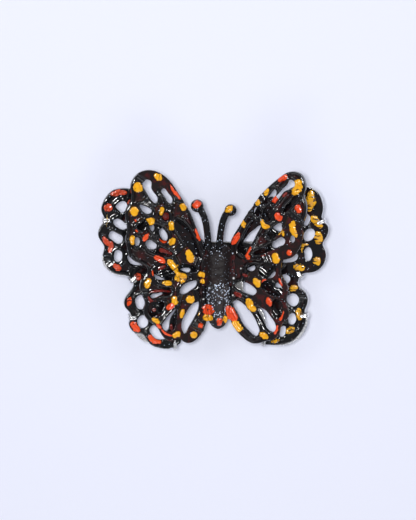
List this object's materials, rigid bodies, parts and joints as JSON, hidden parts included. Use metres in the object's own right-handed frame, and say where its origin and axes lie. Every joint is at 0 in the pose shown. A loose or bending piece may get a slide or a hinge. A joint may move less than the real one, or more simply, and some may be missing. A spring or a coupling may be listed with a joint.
{
  "type": "butterfly brooch",
  "caption": "Butterfly brooch: two layers of openwork enamelled wings on a silver frame with folded claws, a raised body with antennae, and a hinged pin with a turning safety catch.",
  "frame": {"origin": "middle of the pin stem's round seat, on its centre line", "axes": "+Z out of the front of the brooch, +Y toward the butterfly's head, X across the wings, so the stem lies along X with its tip at -X"},
  "size_m": [0.0579, 0.0463, 0.0165],
  "materials": {
    "silver": "polished silver-tone plating, lightly worn",
    "steel": "nickel-plated pin fitting",
    "black_enamel": "thick glossy black enamel on a white-metal casting",
    "maroon_enamel": "glossy black and dark maroon enamel with raised yellow and orange-red dabs",
    "body_enamel": "dark speckled enamel, granulated on the abdomen"
  },
  "bodies": {
    "brooch": {"abdomen": "body_enamel", "antenna_left": "body_enamel", "antenna_right": "body_enamel", "body_stud": "steel", "catch_bracket": "steel", "centre_plate": "black_enamel", "claw_forewing_left": "silver", "claw_forewing_right": "silver", "claw_hindwing_left": "silver", "claw_hindwing_right": "silver", "claw_tail_left": "silver", "claw_tail_right": "silver", "claw_waist_left": "silver", "claw_waist_right": "silver", "hinge_bracket": "steel", "hinge_rivet": "steel", "lower_wing_left": "black_enamel", "lower_wing_right": "black_enamel", "pin_bar": "steel", "silver_frame": "silver", "spacer": "steel", "stud_washer": "steel", "thorax": "body_enamel", "upper_wing_left": "maroon_enamel", "upper_wing_right": "maroon_enamel"},
    "pin": {"pin_stem": "steel"},
    "sleeve": {"catch_sleeve": "steel"}
  },
  "joints": [
    {"name": "pin_hinge", "type": "hinge", "parent": "brooch", "child": "pin", "pos_m": [0.0117, 0, 0], "axis": [0, -1, 0], "range_deg": [0, 75]},
    {"name": "catch_turn", "type": "hinge", "parent": "brooch", "child": "sleeve", "pos_m": [-0.0118, 0, 0], "axis": [1, 0, 0], "range_deg": [0, 110]}
  ]
}
